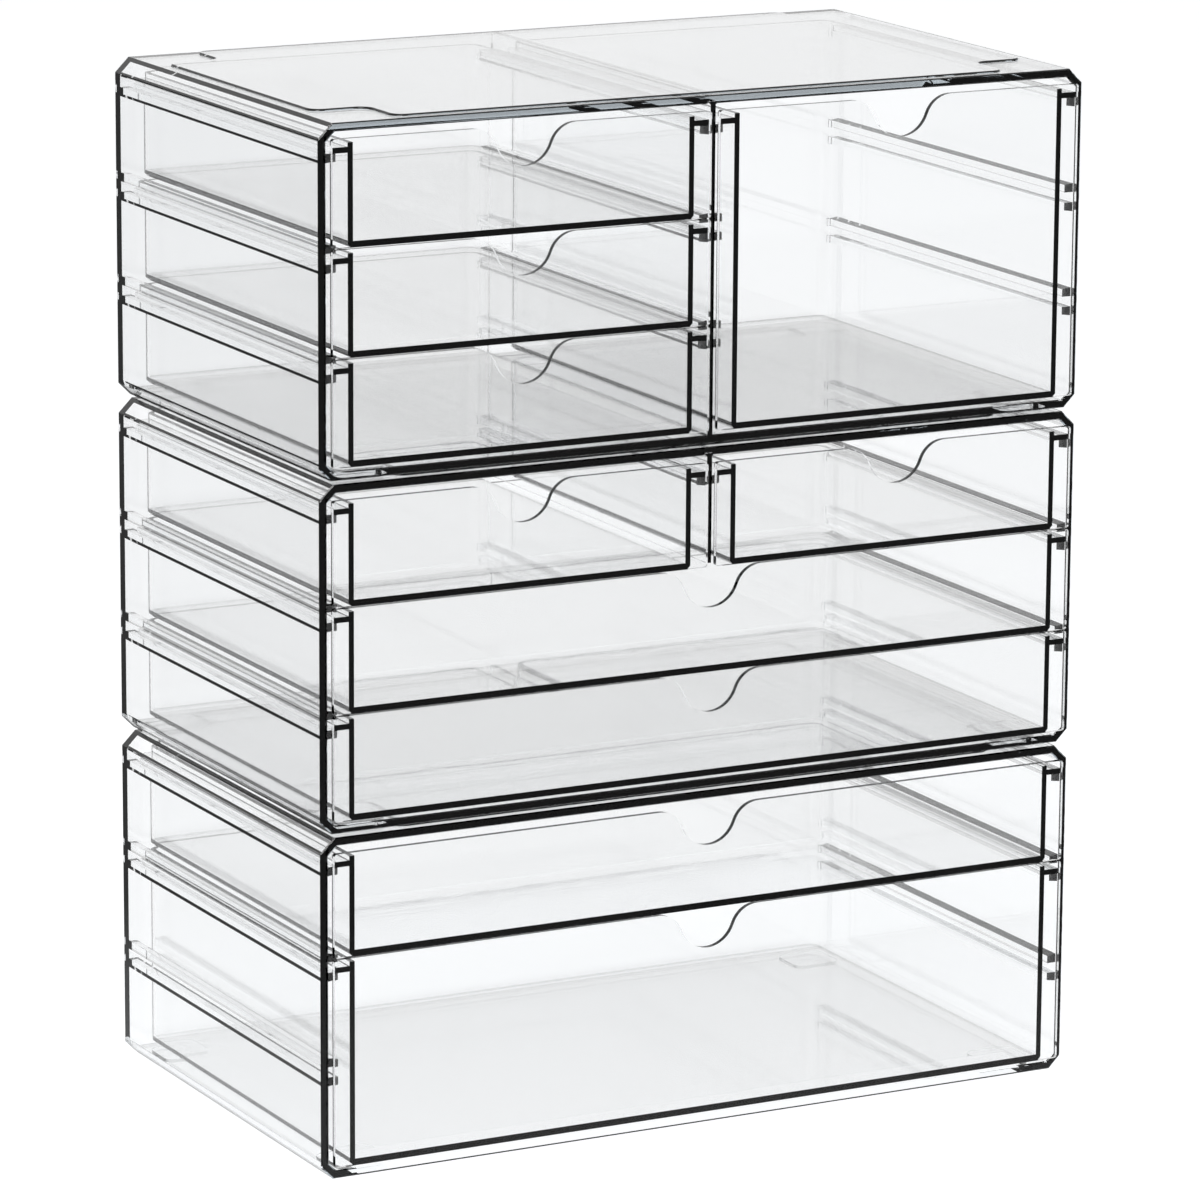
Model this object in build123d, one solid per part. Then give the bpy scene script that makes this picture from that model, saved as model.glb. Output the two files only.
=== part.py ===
from build123d import *
import math
import os

# Stack of three clear moulded storage cases with ten pull-out drawers.
#
# Every case is one moulding: a tube with chamfered long edges, closed at the back and
# open at the front, with support ribs inside its side walls, four feet underneath and a
# raised stacking step on top that locates the feet of the case above. Two of the cases
# are split by a separate divider panel, seated in shallow grooves. Every drawer is one
# moulding: a thin tray hung from two side flanges, which slide on the ribs, with a front
# panel that has a round finger notch in its top edge.
#
# Millimetres. X runs across the front, the drawers open towards -Y, +Z is up. The origin
# is under the middle of the whole stack, on the surface that it stands on.

# Driving dimensions: the stack and its cases
case_width = 240.0
case_depth = 136.0
case_wall = 2.4
top_chamfer = 4.2
bottom_chamfer = 3.6
back_edge_radius = 0.8
rim_edge_cut = 0.35

# Driving dimensions: rows of drawers inside a case
row_count = 3
drawer_height = 29.7
row_gap = 0.45
ceiling_gap = 1.6
floor_gap = 1.65

# Driving dimensions: stacking step and feet
step_height = 0.6
step_side_inset = 7.5
step_end_inset = 2.5
step_notch_width = 16.5
step_notch_length = 17.3
step_corner_radius = 4.0
step_edge_cut = 0.4
foot_height = 1.0
foot_width = 15.0
foot_length = 14.0
foot_corner_radius = 3.0
foot_clearance = 1.5

# Driving dimensions: support ribs
rib_height = 2.6
rib_reach = 2.8
rib_taper = 0.4
rib_setback = 0.6
guide_gap = 1.05

# Driving dimensions: dividers
divider_thickness = 1.6
divider_edge_width = 2.2
divider_seat_depth = 0.8
divider_seat_clearance = 0.1
divider_proud = 0.9
short_divider_rise = 0.7

# Driving dimensions: drawers
front_proud = 2.8
panel_thickness = 1.6
panel_side_gap = 0.55
panel_corner_radius = 0.8
tray_wall = 1.6
tray_floor = 1.6
tray_inset = 5.5
tray_back_gap = 0.8
tray_corner_radius = 2.4
tray_edge_cut = 0.8
side_wall_drop = 1.2
flange_drop = 2.4
flange_thickness = 1.6
flange_side_gap = 0.95
flange_lead_in = 2.0
running_gap = 0.3
notch_depth = 11.2
notch_radius = 8.8
notch_lip_radius = 8.0

# Worked out from the driving dimensions
row_pitch = drawer_height + row_gap
rows_height = row_count * row_pitch - row_gap
case_height = 2 * case_wall + ceiling_gap + rows_height + floor_gap
case_pitch = case_height + foot_height
inner_half_width = case_width / 2 - case_wall
inner_back = case_depth - case_wall
ceiling = case_height - case_wall
half_divider = divider_thickness / 2
centring_shift = (front_proud - case_depth) / 2

# The three bays a drawer can fill, from its left wall to its right wall
bays = {
    "wide": (-inner_half_width, inner_half_width),
    "left": (-inner_half_width, -half_divider),
    "right": (half_divider, inner_half_width),
}

# Each drawer: its case counted from the bottom, its bay, its top row and its rows high
drawers = {
    "bottom_shallow_drawer": (0, "wide", 0, 1),
    "bottom_deep_drawer": (0, "wide", 1, 2),
    "middle_left_drawer": (1, "left", 0, 1),
    "middle_right_drawer": (1, "right", 0, 1),
    "middle_upper_wide_drawer": (1, "wide", 1, 1),
    "middle_lower_wide_drawer": (1, "wide", 2, 1),
    "top_left_upper_drawer": (2, "left", 0, 1),
    "top_left_middle_drawer": (2, "left", 1, 1),
    "top_left_lower_drawer": (2, "left", 2, 1),
    "top_right_tall_drawer": (2, "right", 0, row_count),
}

# Each case, from the bottom up, with the rows that its divider reaches down (0 is none)
cases = {
    "bottom_case": 0,
    "middle_case": 1,
    "top_case": row_count,
}


def panel_top(row):
    """Height of the top edge of a drawer's front in a row, above the case underside."""
    return ceiling - ceiling_gap - row * row_pitch


def rib_shelf(row):
    """Height of the face that a row's flanges ride on."""
    return panel_top(row) - flange_drop - flange_thickness - running_gap


def along_depth(section, start, end):
    """Push an upright section, drawn in X and Z, along the depth from start to end."""
    return extrude(Plane.XZ.offset(-start) * section, amount=start - end)


def octagon():
    """Outer section of a case: a rectangle with its four long edges cut off."""
    half = case_width / 2
    return make_face(Polyline(
        (-half + bottom_chamfer, 0),
        (half - bottom_chamfer, 0),
        (half, bottom_chamfer),
        (half, case_height - top_chamfer),
        (half - top_chamfer, case_height),
        (-half + top_chamfer, case_height),
        (-half, case_height - top_chamfer),
        (-half, bottom_chamfer),
        close=True,
    ))


def rib(root, side, shelf, flat_side):
    """Support or guide rib on a wall at x = root, reaching towards side (+1 or -1).

    Its working face is level and lies at height shelf. flat_side is +1 where that face
    is the top of the rib and -1 where it is the underside; the other face has draft.
    """
    tip = root + side * rib_reach
    far = shelf - flat_side * rib_height
    far_tip = far + flat_side * rib_taper
    section = make_face(Polyline((root, shelf), (tip, shelf), (tip, far_tip), (root, far), close=True))
    return along_depth(section, rib_setback, inner_back)


def row_ribs(root, side, rows):
    """All ribs on one wall: a shelf for every row, and a guide over all but the top one."""
    ribs = [rib(root, side, rib_shelf(row), 1) for row in rows]
    for row in rows:
        if row > 0:
            ribs.append(rib(root, side, rib_shelf(row) + flange_thickness + running_gap + guide_gap, -1))
    return ribs


def divider_section(low, high, grow):
    """Section of a divider from low to high with its thick seated edges, grown by grow."""
    stem = Pos(0, (low + high) / 2) * Rectangle(divider_thickness + 2 * grow, high - low)
    head = Pos(0, ceiling + divider_seat_depth / 2) * Rectangle(divider_edge_width + 2 * grow, divider_seat_depth)
    section = stem + head
    if low <= case_wall:
        section += Pos(0, case_wall - divider_seat_depth / 2) * Rectangle(
            divider_edge_width + 2 * grow, divider_seat_depth)
    return section


def divider_foot(rows):
    """Height of a divider's lower edge, for the number of rows that it reaches down."""
    if rows == row_count:
        return case_wall
    return panel_top(rows - 1) - drawer_height + short_divider_rise


def divider(rows):
    """Divider panel with its ribs on both faces, in the place of the case's middle."""
    foot = divider_foot(rows)
    panel = along_depth(divider_section(foot, ceiling, 0), -divider_proud, inner_back)
    for side in (-1, 1):
        for bar in row_ribs(side * half_divider, side, range(rows)):
            panel += bar
    return panel


def stacking_step():
    """Raised plate on top of a case, with its corners notched for the feet above.

    Its upper edge is cut off all round, as a lead-in for the case that is put on it.
    """
    plate_width = case_width - 2 * step_side_inset
    plate_length = case_depth - 2 * step_end_inset
    plate = Rectangle(plate_width, plate_length)
    notches = GridLocations(plate_width, plate_length, 2, 2)
    plate -= notches * Rectangle(2 * step_notch_width, 2 * step_notch_length)
    plate = fillet(plate.vertices(), step_corner_radius)
    step = extrude(Pos(0, case_depth / 2, case_height) * plate, step_height)
    return chamfer(step.edges().group_by(Axis.Z)[-1], step_edge_cut)


def feet():
    """Four low feet, placed to drop into the step notches of the case below."""
    foot_x = case_width / 2 - step_side_inset - step_notch_width + foot_clearance + foot_width / 2
    foot_y = case_depth / 2 - step_end_inset - step_notch_length + foot_clearance + foot_length / 2
    pad = RectangleRounded(foot_width, foot_length, foot_corner_radius)
    pads = Sketch() + GridLocations(2 * foot_x, 2 * foot_y, 2, 2) * pad
    return extrude(Pos(0, case_depth / 2, 0) * pads, -foot_height)


def case(divider_rows):
    """One case: shell, ribs, feet and stacking step, with grooves if it has a divider.

    The open rim is the part that hands meet, so its sharp edges are taken off.
    """
    section = octagon()
    body = along_depth(section, 0, case_depth)
    back_edges = body.edges().group_by(Axis.Y)[-1]
    body = fillet(back_edges, back_edge_radius)
    body -= along_depth(offset(section, -case_wall, kind=Kind.INTERSECTION), 0, inner_back)
    rim_edges = body.edges().group_by(Axis.Y)[0]
    body = chamfer(rim_edges, rim_edge_cut)
    body += stacking_step()
    body += feet()
    for side in (-1, 1):
        for bar in row_ribs(side * inner_half_width, -side, range(row_count)):
            body += bar
    if divider_rows > 0:
        seats = divider_section(divider_foot(divider_rows), ceiling, divider_seat_clearance)
        body -= along_depth(seats, 0, inner_back)
    return body


def finger_notch(centre, top):
    """Round finger notch: a bowl that runs out to the top edge over two rounded lips."""
    reach = notch_radius + notch_lip_radius
    rise = reach - notch_depth
    lip_x = math.sqrt(reach ** 2 - rise ** 2)
    bowl = top - notch_depth + notch_radius
    share = notch_radius / reach
    meet_x = lip_x * share
    meet_z = bowl + (top - notch_lip_radius - bowl) * share
    clear = top + panel_corner_radius
    left_lip = TangentArc((centre - lip_x, top), (centre - meet_x, meet_z), tangent=(1, 0))
    bottom = ThreePointArc(
        (centre - meet_x, meet_z), (centre, top - notch_depth), (centre + meet_x, meet_z))
    right_lip = TangentArc((centre + lip_x, top), (centre + meet_x, meet_z), tangent=(-1, 0))
    lid = Polyline(
        (centre + lip_x, top), (centre + lip_x, clear), (centre - lip_x, clear), (centre - lip_x, top))
    return make_face([left_lip, bottom, right_lip, lid])


def tray_solid(low, high, base, top, front, back, corner):
    """Solid with rounded upright back corners, square at its front."""
    plan = make_face(Polyline((low, front), (high, front), (high, back), (low, back), close=True))
    plan = fillet(plan.vertices().group_by(Axis.Y)[-1], corner)
    return extrude(Pos(0, 0, base) * plan, top - base)


def flange(wall_face, side, bay_edge, top, front, back):
    """Side flange that carries a drawer, with its back corner cut off as a lead-in."""
    root = wall_face - side * tray_wall / 2
    edge = bay_edge - side * flange_side_gap
    plan = make_face(Polyline(
        (root, front),
        (edge, front),
        (edge, back - flange_lead_in),
        (edge - side * flange_lead_in, back),
        (root, back),
        close=True,
    ))
    return extrude(Pos(0, 0, top - flange_thickness) * plan, flange_thickness)


def drawer(bay, row, rows):
    """One drawer for a bay, with its front's top edge in a row, and rows high."""
    bay_low, bay_high = bays[bay]
    top = panel_top(row)
    base = panel_top(row + rows - 1) - drawer_height
    front = panel_thickness - front_proud
    back = inner_back - tray_back_gap
    low = bay_low + tray_inset
    high = bay_high - tray_inset
    rim = top - side_wall_drop
    outer_corner = tray_corner_radius + tray_wall

    tray = tray_solid(low, high, base, rim, front, back, outer_corner)
    lower_edges = tray.edges().group_by(Axis.Z)[0].sort_by(Axis.Y)[1:]
    tray = chamfer(lower_edges, tray_edge_cut)
    tray += flange(low, -1, bay_low, top - flange_drop, front, back - outer_corner)
    tray += flange(high, 1, bay_high, top - flange_drop, front, back - outer_corner)

    panel_width = bay_high - bay_low - 2 * panel_side_gap
    centre = (bay_low + bay_high) / 2
    sheet = Pos(centre, (base + top) / 2) * RectangleRounded(panel_width, top - base, panel_corner_radius)
    sheet -= finger_notch(centre, top)
    tray += along_depth(sheet, front - panel_thickness, front)

    hollow = tray_solid(
        low + tray_wall, high - tray_wall, base + tray_floor, top + drawer_height,
        front, back - tray_wall, tray_corner_radius)
    return tray - hollow


def place(shape, level):
    """Put a shape modelled on its case into the stack, on a level from the bottom."""
    return Pos(0, centring_shift, foot_height + level * case_pitch) * shape


def save(name, shape):
    """Write one named piece."""
    export_step(shape, f"parts/{name}.step")
    print(f"{name:28s} {len(shape.solids())} solid  {shape.volume / 1000:7.1f} cm3")


os.makedirs("parts", exist_ok=True)
for level, (case_name, divider_rows) in enumerate(cases.items()):
    save(case_name, place(case(divider_rows), level))
    if divider_rows > 0:
        save(case_name.replace("case", "divider"), place(divider(divider_rows), level))
for drawer_name, (level, bay, row, rows) in drawers.items():
    save(drawer_name, place(drawer(bay, row, rows), level))
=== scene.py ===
# %% [markdown]
# # Clear stacking storage drawers
#
# Three clear moulded cases stand on each other and hold ten pull-out drawers. This lesson
# takes the finished construction, piece by piece, and gives it its looks: the plastic, the
# way light is caught in its edges, the studio and the camera.
#
# The construction is loaded as it is and never moved. All lengths here are metres, with
# +Z up and the drawers opening towards -Y.

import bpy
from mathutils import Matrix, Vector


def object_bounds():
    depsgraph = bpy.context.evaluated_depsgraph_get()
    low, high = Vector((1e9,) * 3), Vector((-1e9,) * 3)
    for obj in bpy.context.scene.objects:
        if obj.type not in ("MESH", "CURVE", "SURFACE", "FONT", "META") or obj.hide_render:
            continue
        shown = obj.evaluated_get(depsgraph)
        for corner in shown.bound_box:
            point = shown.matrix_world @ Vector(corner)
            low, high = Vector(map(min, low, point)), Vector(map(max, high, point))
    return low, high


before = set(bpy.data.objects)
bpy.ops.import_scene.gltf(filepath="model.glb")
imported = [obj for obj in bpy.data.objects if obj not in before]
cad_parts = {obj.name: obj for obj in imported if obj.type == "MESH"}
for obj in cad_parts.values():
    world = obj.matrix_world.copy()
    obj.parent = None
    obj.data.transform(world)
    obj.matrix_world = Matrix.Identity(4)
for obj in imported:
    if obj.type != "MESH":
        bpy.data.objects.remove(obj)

# %% [markdown]
# ## The size to keep
#
# Looks must not change the size. The box of the bare construction is noted now.

# %% Note the size of the bare construction
import math

import bpy
from mathutils import Matrix, Vector

cad_low, cad_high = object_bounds()

# %% [markdown]
# ## Small helpers
#
# Colours are written as sRGB hex, the way a colour picker shows them, and shaders want
# linear light, so one function turns one into the other. The others start an empty node
# tree, add a node with its settings and links, and chain nodes that calculate, which keeps
# every material below short. The last one marks the light that ends up in the picture:
# seen straight, in a mirroring face or through the plastic.

# %% Colour and node helpers
def linear(hex_colour):
    """An sRGB hex colour as linear red, green, blue and alpha."""
    def channel(value):
        return value / 12.92 if value <= 0.04045 else ((value + 0.055) / 1.055) ** 2.4
    parts = [int(hex_colour[start:start + 2], 16) / 255 for start in (1, 3, 5)]
    return (*map(channel, parts), 1.0)


def empty_tree(owner):
    """The node tree of a material or a world, turned on and emptied."""
    owner.use_nodes = True
    owner.node_tree.nodes.clear()
    return owner.node_tree


def add_node(tree, kind, inputs=(), **settings):
    """Add one node. inputs maps a socket's name or number to a value or another socket."""
    node = tree.nodes.new(kind)
    for name, value in settings.items():
        setattr(node, name, value)
    for socket, value in dict(inputs).items():
        if isinstance(value, bpy.types.NodeSocket):
            tree.links.new(value, node.inputs[socket])
        else:
            node.inputs[socket].default_value = value
    return node


def calculate(tree, operation, first, *others):
    """Join values by one operation, from left to right, and return the result's socket."""
    result = first
    for value in others:
        result = add_node(tree, "ShaderNodeMath", {0: result, 1: value},
                          operation=operation).outputs["Value"]
    return result


def ends_in_picture(tree, ray):
    """1 for rays seen straight, mirrored or through the plastic, 0 for all others."""
    marks = ("Is Camera Ray", "Is Glossy Ray", "Is Transmission Ray")
    return calculate(tree, "MAXIMUM", *(ray.outputs[mark] for mark in marks))


print("mid grey as linear light:", round(linear("#808080")[0], 3))

# %% [markdown]
# ## Clear moulded acrylic
#
# The real pieces are injection moulded from clear acrylic, a hard plastic that bends light
# about as much as window glass, with an index of refraction of 1.49. Its faces come out of
# a polished mould, so they are almost perfectly smooth. Two things make such plastic look
# real. First, light that enters an edge is trapped between the two faces of the wall, runs
# along it and dies away: a wall seen end-on goes nearly black, while the same wall seen
# face-on is clear. Second, a moulded sheet is never quite flat, so what shows through it
# wavers a little.
#
# A volume that absorbs a little light for every millimetre takes a part of the first, and
# the floor and the bounces further down do the rest. The second is a soft bump. A third
# layer is handling: a smudge here and there, worked out from a noise a few centimetres
# across, where the polish is a touch less than perfect. Lamps and bounced light may pass
# straight through, as a thin wall lets them do, so that the clear box doesn't throw the
# black shadow of a solid one.
#
# The cases, the dividers and the drawers come from different moulds, so each kind gets
# waves of its own length and smudges of its own strength. The lowest case has the finish
# of the others and one more thing. In the photograph the front edge of its bottom plate is
# white with a thin dark line below, where plain clear plastic goes black from end to end.
# Why it does so can't be told from the photograph. It is matched this way: a strip of the
# underside just behind the front edge, picked by its place on the piece, lets light that
# has come in through the edge straight out to the table instead of mirroring it.

# %% Clear acrylic material
MM = 0.001
ACRYLIC_IOR = 1.49
CLEAR = "#fefefe"
GREY_TINT = "#e7eaec"
WAVE_HEIGHT = 0.02 * MM
SMUDGE_SIZE = 24 * MM
SMUDGED_FROM, FULLY_SMUDGED = 0.58, 0.75

STRIP_HALF_WIDTH = 108 * MM
STRIP_MIDDLE = 8 * MM
STRIP_HALF_DEPTH = 5.5 * MM
STRIP_HEIGHT = 1.5 * MM


def front_strip(tree, place, front):
    """1 on the strip of the lowest plate's underside behind its front edge, 0 elsewhere.

    The strip's middle line runs STRIP_MIDDLE behind the front edge, which is at y = front.
    """
    here = add_node(tree, "ShaderNodeSeparateXYZ", {"Vector": place})
    extents = {
        "X": (0.0, STRIP_HALF_WIDTH),
        "Y": (front + STRIP_MIDDLE, STRIP_HALF_DEPTH),
        "Z": (0.0, STRIP_HEIGHT)}
    near = [
        add_node(tree, "ShaderNodeMath", {0: here.outputs[axis], 1: middle, 2: reach},
                 operation="COMPARE").outputs["Value"]
        for axis, (middle, reach) in extents.items()]
    return calculate(tree, "MULTIPLY", *near)


def clear_acrylic(name, wave_length, smudge, density, front=None):
    """Clear moulded acrylic: its flow waves, its handling smudges and what it absorbs.

    smudge is the roughness where it is smudged most. With front, the y of the front edge,
    the strip of the underside behind that edge lets light out.
    """
    material = bpy.data.materials.new(name)
    tree = empty_tree(material)
    place = add_node(tree, "ShaderNodeTexCoord").outputs["Object"]
    waves = add_node(tree, "ShaderNodeTexNoise", {
        "Vector": place, "Scale": 1 / wave_length, "Detail": 1.0})
    flow = add_node(tree, "ShaderNodeBump", {
        "Height": waves.outputs["Fac"], "Distance": WAVE_HEIGHT, "Strength": 1.0})
    handling = add_node(tree, "ShaderNodeTexNoise", {
        "Vector": place, "Scale": 1 / SMUDGE_SIZE, "Detail": 4.0, "Roughness": 0.6})
    polish = add_node(tree, "ShaderNodeMapRange", {
        "Value": handling.outputs["Fac"], "From Min": SMUDGED_FROM,
        "From Max": FULLY_SMUDGED, "To Min": 0.0, "To Max": smudge})
    plastic = add_node(tree, "ShaderNodeBsdfPrincipled", {
        "Base Color": linear(CLEAR), "Roughness": polish.outputs["Result"],
        "IOR": ACRYLIC_IOR, "Transmission Weight": 1.0, "Normal": flow.outputs["Normal"]})
    thin = add_node(tree, "ShaderNodeBsdfTransparent", {"Color": linear(CLEAR)})
    ray = add_node(tree, "ShaderNodeLightPath")
    straight = calculate(
        tree, "MAXIMUM", ray.outputs["Is Shadow Ray"], ray.outputs["Is Diffuse Ray"])
    if front is not None:
        let_out = calculate(tree, "MULTIPLY", ray.outputs["Is Transmission Ray"],
                            front_strip(tree, place, front))
        straight = calculate(tree, "MAXIMUM", straight, let_out)
    surface = add_node(tree, "ShaderNodeMixShader", {
        "Fac": straight, 1: plastic.outputs["BSDF"], 2: thin.outputs["BSDF"]})
    inside = add_node(tree, "ShaderNodeVolumeAbsorption", {
        "Color": linear(GREY_TINT), "Density": density})
    add_node(tree, "ShaderNodeOutputMaterial", {
        "Surface": surface.outputs["Shader"], "Volume": inside.outputs["Volume"]})
    return material


case_finish = {"wave_length": 34 * MM, "smudge": 0.05, "density": 28.0}
case_acrylic = clear_acrylic("clear_acrylic_case", **case_finish)
divider_acrylic = clear_acrylic(
    "clear_acrylic_divider", wave_length=26 * MM, smudge=0.04, density=28.0)
drawer_acrylic = clear_acrylic(
    "clear_acrylic_drawer", wave_length=22 * MM, smudge=0.06, density=26.0)
front_edge = min(corner.co.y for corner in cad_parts["bottom_case"].data.vertices)
base_acrylic = clear_acrylic("clear_acrylic_base", **case_finish, front=front_edge)
for name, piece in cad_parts.items():
    if name == "bottom_case":
        piece.material_slots[0].material = base_acrylic
    elif "case" in name:
        piece.material_slots[0].material = case_acrylic
    elif "divider" in name:
        piece.material_slots[0].material = divider_acrylic
    else:
        piece.material_slots[0].material = drawer_acrylic
print("dressed in acrylic:", len(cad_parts))

# %% [markdown]
# ## A hair's breadth between the cases
#
# The feet of a case rest exactly on the case below, and those of the lowest one on the
# floor. Two clear faces in the very same place confuse a light path: it can't tell which
# one it meets first, and the feet turn into dark squares. Real faces only touch in a few
# points, with air in between. So each case is made a hundredth of a millimetre thinner on
# all its faces, after the faces' loose borders are joined so that no crack opens.

# %% Hair's breadth of air round the cases
HAIR = 0.01 * MM
for name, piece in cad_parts.items():
    if "case" in name:
        join = piece.modifiers.new("join_face_borders", "WELD")
        join.merge_threshold = 0.1 * HAIR
        skin = piece.modifiers.new("hairline_of_air", "DISPLACE")
        skin.mid_level = 0.0
        skin.strength = -HAIR
        print(name, "is", HAIR / MM, "mm thinner all round")

# %% [markdown]
# ## Floor
#
# The stack stands on a matt white table that runs on into a white surrounding. One large
# flat sheet does for it. Its paint is a plain diffuse white, which keeps the soft shadow of
# the stack, and it gives the camera a little light of its own so that it ends as white as
# the surroundings, without any more light on the object.
#
# Clear plastic shows its floor twice: straight through it, and mirrored in its faces.
# Straight through, the floor looks as it is. Mirrored, its colour and glow are painted
# dimmer, and dimmer still further out: painted shade that stands in for the darker room
# the faces would pick up beyond a real table, which ends not far from the stack. That is
# also what lets the edges of the walls go nearly black: what is left to see on them is the
# few percent that their outer face mirrors. A ray that is mirrored and not refracted is
# known by the difference of the two marks that rays carry.

# %% Floor
HALF_FLOOR = 12.0
FLOOR_WHITE = "#eeeeee"
FLOOR_GLOW = 0.4
# Painted shade in the mirrored floor: its level near the stack, far out, and the reach over
# which it falls.
MIRRORED_NEAR = 0.7
MIRRORED_FAR = 0.2
MIRROR_DIMMING_REACH = (0.12, 0.30)

floor_mesh = bpy.data.meshes.new("studio_floor")
corners = [
    (x * HALF_FLOOR, y * HALF_FLOOR, 0) for x, y in ((-1, -1), (1, -1), (1, 1), (-1, 1))]
floor_mesh.from_pydata(corners, [], [(0, 1, 2, 3)])
floor = bpy.data.objects.new("studio_floor", floor_mesh)
bpy.context.scene.collection.objects.link(floor)

floor_paint = bpy.data.materials.new("matt_white_floor")
tree = empty_tree(floor_paint)
ray = add_node(tree, "ShaderNodeLightPath")
spot = add_node(tree, "ShaderNodeNewGeometry")
reach = add_node(tree, "ShaderNodeVectorMath", {
    0: spot.outputs["Position"]}, operation="LENGTH")
# Painted reflection: mirrored rays see the floor's colour and glow dimmed, more further
# out, in place of a darker room.
painted_mirror_dimming = add_node(tree, "ShaderNodeMapRange", {
    "Value": reach.outputs["Value"], "From Min": MIRROR_DIMMING_REACH[0], "From Max": MIRROR_DIMMING_REACH[1],
    "To Min": MIRRORED_NEAR, "To Max": MIRRORED_FAR})
mirrored = calculate(
    tree, "SUBTRACT", ray.outputs["Is Glossy Ray"], ray.outputs["Is Transmission Ray"])
level = add_node(tree, "ShaderNodeMix", {
    0: mirrored, 2: 1.0, 3: painted_mirror_dimming.outputs["Result"]}).outputs[0]
paint_colour = add_node(tree, "ShaderNodeVectorMath", {
    0: linear(FLOOR_WHITE)[:3], 3: level}, operation="SCALE")
paint = add_node(tree, "ShaderNodeBsdfDiffuse", {"Color": paint_colour.outputs["Vector"]})
glow_strength = calculate(tree, "MULTIPLY", ends_in_picture(tree, ray), level, FLOOR_GLOW)
glow = add_node(tree, "ShaderNodeEmission", {
    "Color": linear("#ffffff"), "Strength": glow_strength})
both = add_node(tree, "ShaderNodeAddShader", {
    0: paint.outputs["BSDF"], 1: glow.outputs["Emission"]})
add_node(tree, "ShaderNodeOutputMaterial", {"Surface": both.outputs["Shader"]})
floor_mesh.materials.append(floor_paint)
print("floor half width in metres:", HALF_FLOOR)

# %% [markdown]
# ## Surrounding light
#
# The photograph has a pure white background. A white world seen by the camera gives that,
# while a dimmer, slightly cool one lights the object, so that white stays white and the
# plastic isn't washed out. Through the plastic and in its reflections the white background
# shows too, but a little darker higher up, as a studio wall falls off above the table: the
# front edge of the top plate looks out there, and this is what keeps it from going white.

# %% Surrounding light
BACKDROP_RISE = (5.0, 9.0)
UPPER_BACKDROP = 0.8
ROOM_STRENGTH = 0.75
ROOM_LIGHT = "#f4f6f8"

scene = bpy.context.scene
world = bpy.data.worlds.new("pale_studio")
scene.world = world
tree = empty_tree(world)
ray = add_node(tree, "ShaderNodeLightPath")
heading = add_node(tree, "ShaderNodeTexCoord")
heights = add_node(tree, "ShaderNodeSeparateXYZ", {"Vector": heading.outputs["Generated"]})
low_line, high_line = (math.sin(math.radians(angle)) for angle in BACKDROP_RISE)
rise = add_node(tree, "ShaderNodeMapRange", {
    "Value": heights.outputs["Z"], "From Min": low_line, "From Max": high_line,
    "To Min": 1.0, "To Max": UPPER_BACKDROP})
white_or_falling = calculate(
    tree, "MAXIMUM", rise.outputs["Result"], ray.outputs["Is Camera Ray"])
backdrop = add_node(tree, "ShaderNodeBackground", {
    "Color": linear("#ffffff"), "Strength": white_or_falling})
room = add_node(tree, "ShaderNodeBackground", {
    "Color": linear(ROOM_LIGHT), "Strength": ROOM_STRENGTH})
mixed = add_node(tree, "ShaderNodeMixShader", {
    "Fac": ends_in_picture(tree, ray), 1: room.outputs["Background"],
    2: backdrop.outputs["Background"]})
add_node(tree, "ShaderNodeOutputWorld", {"Surface": mixed.outputs["Shader"]})
print("backdrop falls off between", BACKDROP_RISE, "degrees above the horizon")

# %% [markdown]
# ## Soft lamp
#
# One large soft lamp stands in front, to the left and above, as in a product studio. Its
# size keeps the shadow soft and its power is low: the surroundings do most of the work,
# and the lamp only gives the shadow its side.

# %% Soft lamp
LAMP_PLACE = Vector((-0.9, -1.0, 1.3))
LAMP_SIDE = 0.9
LAMP_WATTS = 12.0

softbox = bpy.data.lights.new("key_softbox", "AREA")
softbox.shape = "RECTANGLE"
softbox.size = softbox.size_y = LAMP_SIDE
softbox.energy = LAMP_WATTS
stand = bpy.data.objects.new("key_softbox", softbox)
stand.location = LAMP_PLACE
middle_of_stack = (cad_low + cad_high) / 2
stand.rotation_euler = (middle_of_stack - LAMP_PLACE).to_track_quat("-Z", "Y").to_euler()
scene.collection.objects.link(stand)

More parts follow.
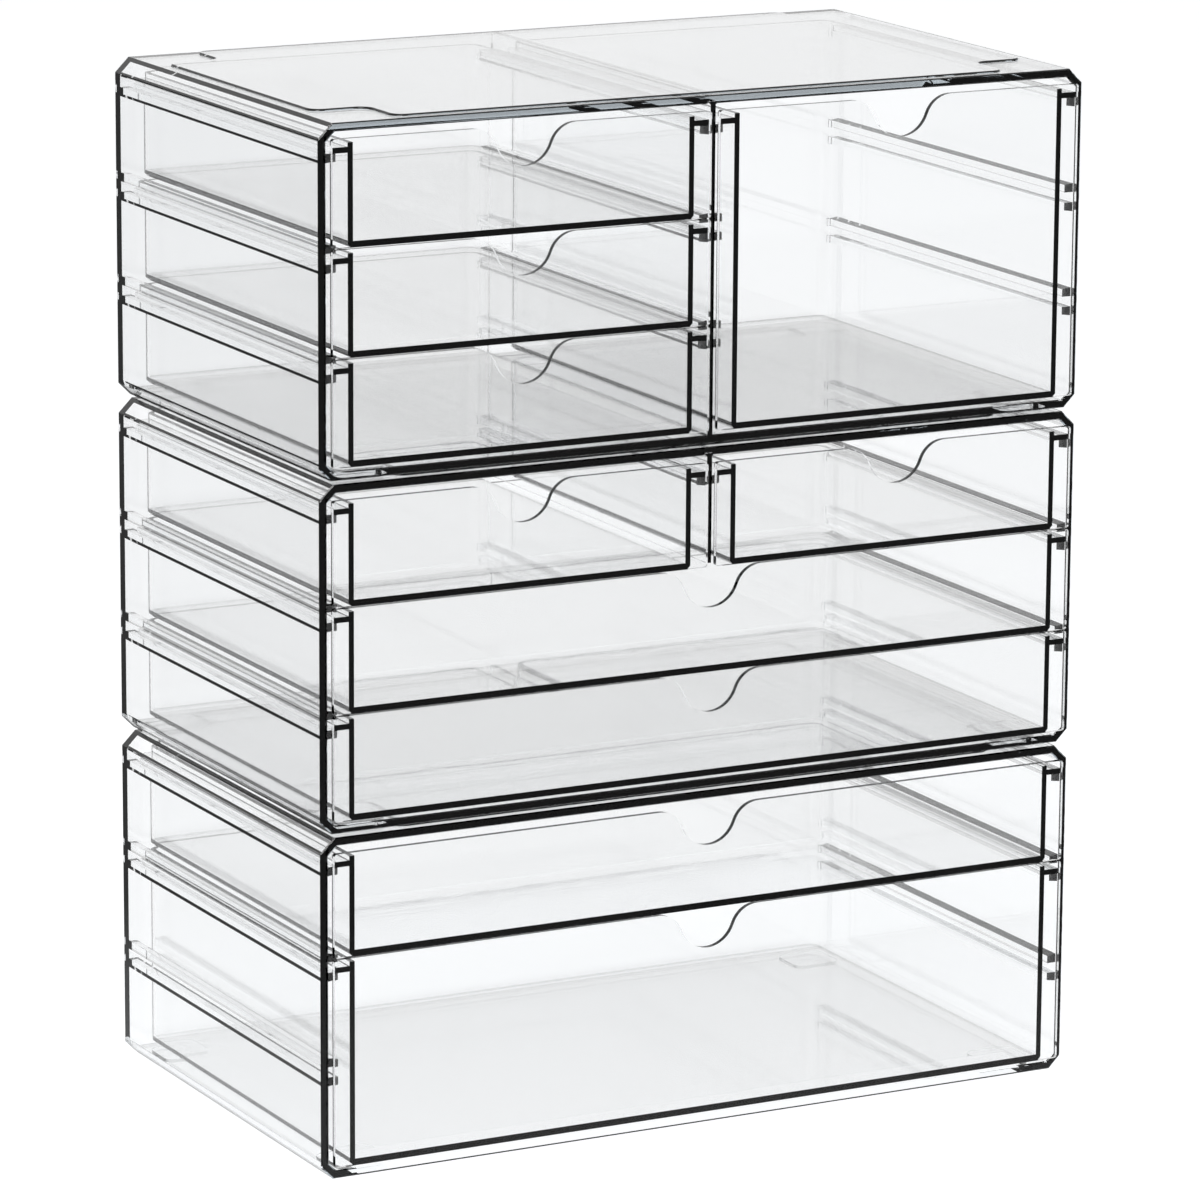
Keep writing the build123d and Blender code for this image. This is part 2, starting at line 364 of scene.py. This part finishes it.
# %% [markdown]
# ## Camera
#
# The camera stands where the photograph was taken: a little above the stack, to the left
# of its front, and far away with a long lens, which keeps upright edges almost parallel.

# %% Camera
AZIMUTH = math.radians(-27.77)
ELEVATION = math.radians(13.06)
ROLL = math.radians(0.368)
DISTANCE = 1.9061
AIM = Vector((0.0020, 0.0014, 0.1399))
LENS = 197.08
SENSOR = 36.0

away = Vector((
    math.sin(AZIMUTH) * math.cos(ELEVATION),
    -math.cos(AZIMUTH) * math.cos(ELEVATION),
    math.sin(ELEVATION)))
right = (-away).cross(Vector((0, 0, 1))).normalized()
up = right.cross(-away)
rolled_right = right * math.cos(ROLL) + up * math.sin(ROLL)
rolled_up = up * math.cos(ROLL) - right * math.sin(ROLL)
camera_data = bpy.data.cameras.new("product_camera")
camera_data.lens = LENS
camera_data.sensor_width = SENSOR
camera = bpy.data.objects.new("product_camera", camera_data)
turn = Matrix((rolled_right, rolled_up, away)).transposed().to_4x4()
camera.matrix_world = Matrix.Translation(AIM + away * DISTANCE) @ turn
scene.collection.objects.link(camera)
scene.camera = camera
print("camera is", round(DISTANCE, 3), "m away")

# %% [markdown]
# ## How far to follow the light
#
# A line of sight crosses many clear faces on its way through the stack, so up to forty
# refractions are allowed. Mirror bounces are held at five on purpose. Light that a wall has
# trapped is mirrored from face to face inside it. In the real plastic each bounce and each
# centimetre costs a little, and the ends of the side walls and of the plates between the
# cases are nearly black. The front edge of the top plate needs just five bounces before it
# looks out at the back, and there the photograph is pale grey. So five bounces is where
# the pale ends stop and the black ones begin.

# %% Bounces for clear plastic
MIRROR_BOUNCES = 5
REFRACTIONS = 40
ALL_BOUNCES = 48
STRAIGHT_THROUGH = 64

scene.view_settings.view_transform = "Standard"
scene.cycles.max_bounces = ALL_BOUNCES
scene.cycles.glossy_bounces = MIRROR_BOUNCES
scene.cycles.transmission_bounces = REFRACTIONS
scene.cycles.transparent_max_bounces = STRAIGHT_THROUGH
print("mirror bounces:", MIRROR_BOUNCES, "refractions:", REFRACTIONS)
